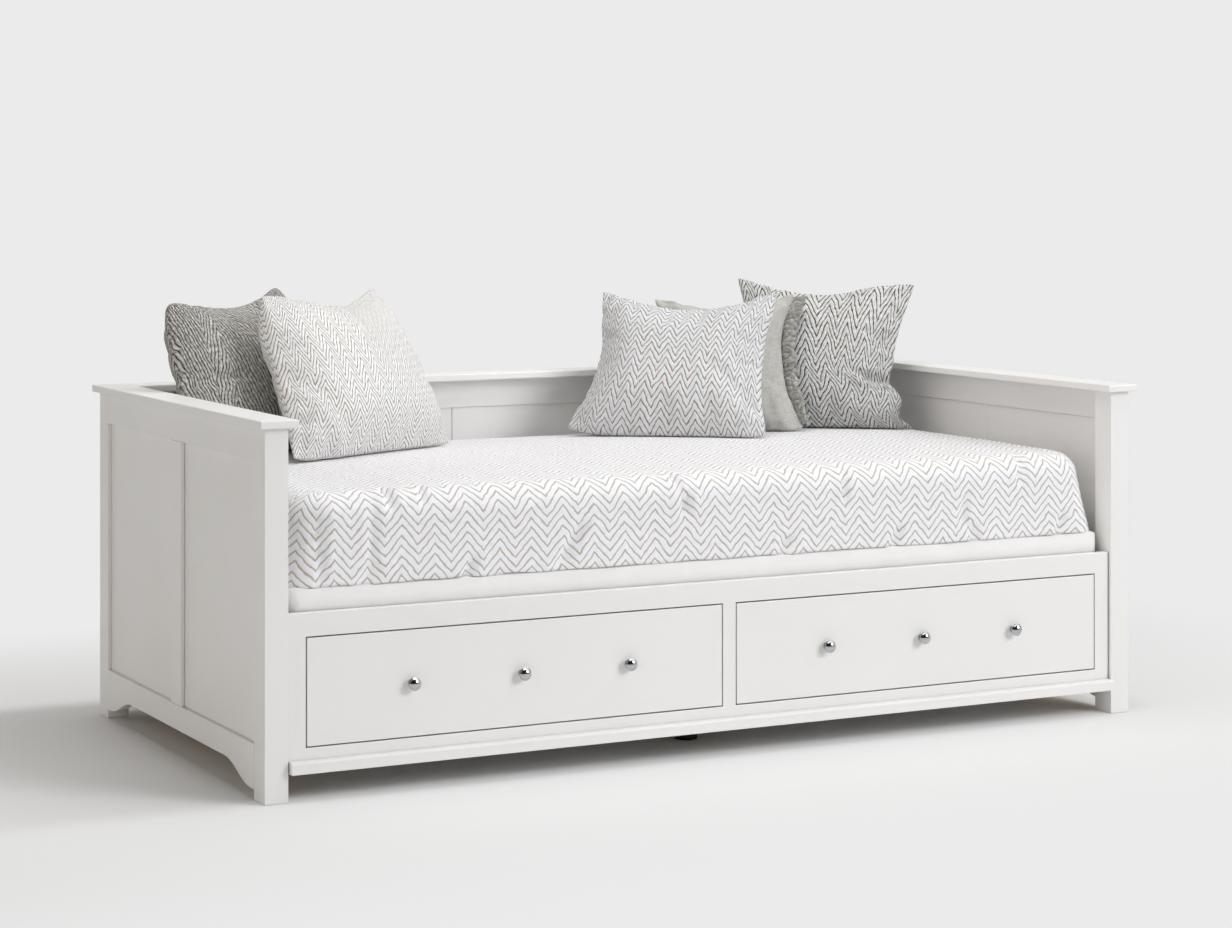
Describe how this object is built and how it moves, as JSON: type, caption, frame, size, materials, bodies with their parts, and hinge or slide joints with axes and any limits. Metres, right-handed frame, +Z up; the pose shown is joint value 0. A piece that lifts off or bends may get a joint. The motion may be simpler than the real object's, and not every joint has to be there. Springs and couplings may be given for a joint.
{
  "type": "storage daybed",
  "caption": "White panelled daybed with capped ends and back, a pull-out front section with drawers, a mattress under a chevron bedspread, and loose cushions.",
  "frame": {"origin": "on the floor, under the middle of the frame", "axes": "+X along the bed to its right-hand end as seen from the front, +Y to the back, +Z up"},
  "size_m": [2.1, 1.085, 0.9476],
  "materials": {
    "white_paint": "solid pine and fibreboard under satin white paint",
    "white_board": "white foil-faced board, semi-matt",
    "bare_pine": "planed pine, unfinished",
    "chrome_knob": "polished chrome plate",
    "black_plastic": "moulded black plastic, matt",
    "mattress_cloth": "plain white ticking",
    "bedspread_cloth": "white cotton with a thin beige chevron line",
    "grey_weave_cloth": "grey and brown herringbone weave",
    "pale_weave_cloth": "off-white cotton with a tan chevron line",
    "grey_linen_cloth": "plain slubbed grey linen"
  },
  "bodies": {
    "frame": {"post_front_left": "white_paint", "post_front_right": "white_paint", "post_back_left": "white_paint", "post_back_right": "white_paint", "end_top_rail_left": "white_paint", "end_top_rail_right": "white_paint", "end_bottom_rail_left": "white_paint", "end_bottom_rail_right": "white_paint", "end_muntin_left": "white_paint", "end_muntin_right": "white_paint", "end_cap_left": "white_paint", "end_cap_right": "white_paint", "end_panel_left_front": "white_paint", "end_panel_left_back": "white_paint", "end_panel_right_front": "white_paint", "end_panel_right_back": "white_paint", "back_cap": "white_paint", "back_top_rail": "white_paint", "back_bottom_rail": "white_paint", "back_panel_left": "white_paint", "back_panel_centre": "white_paint", "back_panel_right": "white_paint", "front_beam": "bare_pine", "slat_base_fixed": "bare_pine", "pullout_guide_left": "bare_pine", "pullout_guide_right": "bare_pine", "mattress": "mattress_cloth", "bedspread": "bedspread_cloth", "cushion_grey_left": "grey_weave_cloth", "cushion_pale_left": "pale_weave_cloth", "cushion_pale_right": "pale_weave_cloth", "cushion_linen": "grey_linen_cloth", "cushion_grey_right": "grey_weave_cloth"},
    "pullout": {"pullout_front": "white_paint", "pullout_trim": "white_paint", "pullout_side_left": "white_board", "pullout_side_right": "white_board", "pullout_partition": "white_board", "slat_base_pullout": "bare_pine", "pullout_foot": "black_plastic", "runner_left_outer": "bare_pine", "runner_left_inner": "bare_pine", "runner_right_outer": "bare_pine", "runner_right_inner": "bare_pine"},
    "drawer_left": {"drawer_left_front": "white_paint", "drawer_left_side_outer": "white_board", "drawer_left_side_inner": "white_board", "drawer_left_back": "white_board", "drawer_left_bottom": "white_board", "knob_left_a": "chrome_knob", "knob_left_b": "chrome_knob", "knob_left_c": "chrome_knob"},
    "drawer_right": {"drawer_right_front": "white_paint", "drawer_right_side_outer": "white_board", "drawer_right_side_inner": "white_board", "drawer_right_back": "white_board", "drawer_right_bottom": "white_board", "knob_right_a": "chrome_knob", "knob_right_b": "chrome_knob", "knob_right_c": "chrome_knob"}
  },
  "joints": [
    {"name": "pullout_slide", "type": "slide", "parent": "frame", "child": "pullout", "axis": [0, -1, 0], "range_m": [0, 0.85]},
    {"name": "drawer_left_slide", "type": "slide", "parent": "pullout", "child": "drawer_left", "axis": [0, -1, 0], "range_m": [0, 0.45]},
    {"name": "drawer_right_slide", "type": "slide", "parent": "pullout", "child": "drawer_right", "axis": [0, -1, 0], "range_m": [0, 0.45]}
  ]
}
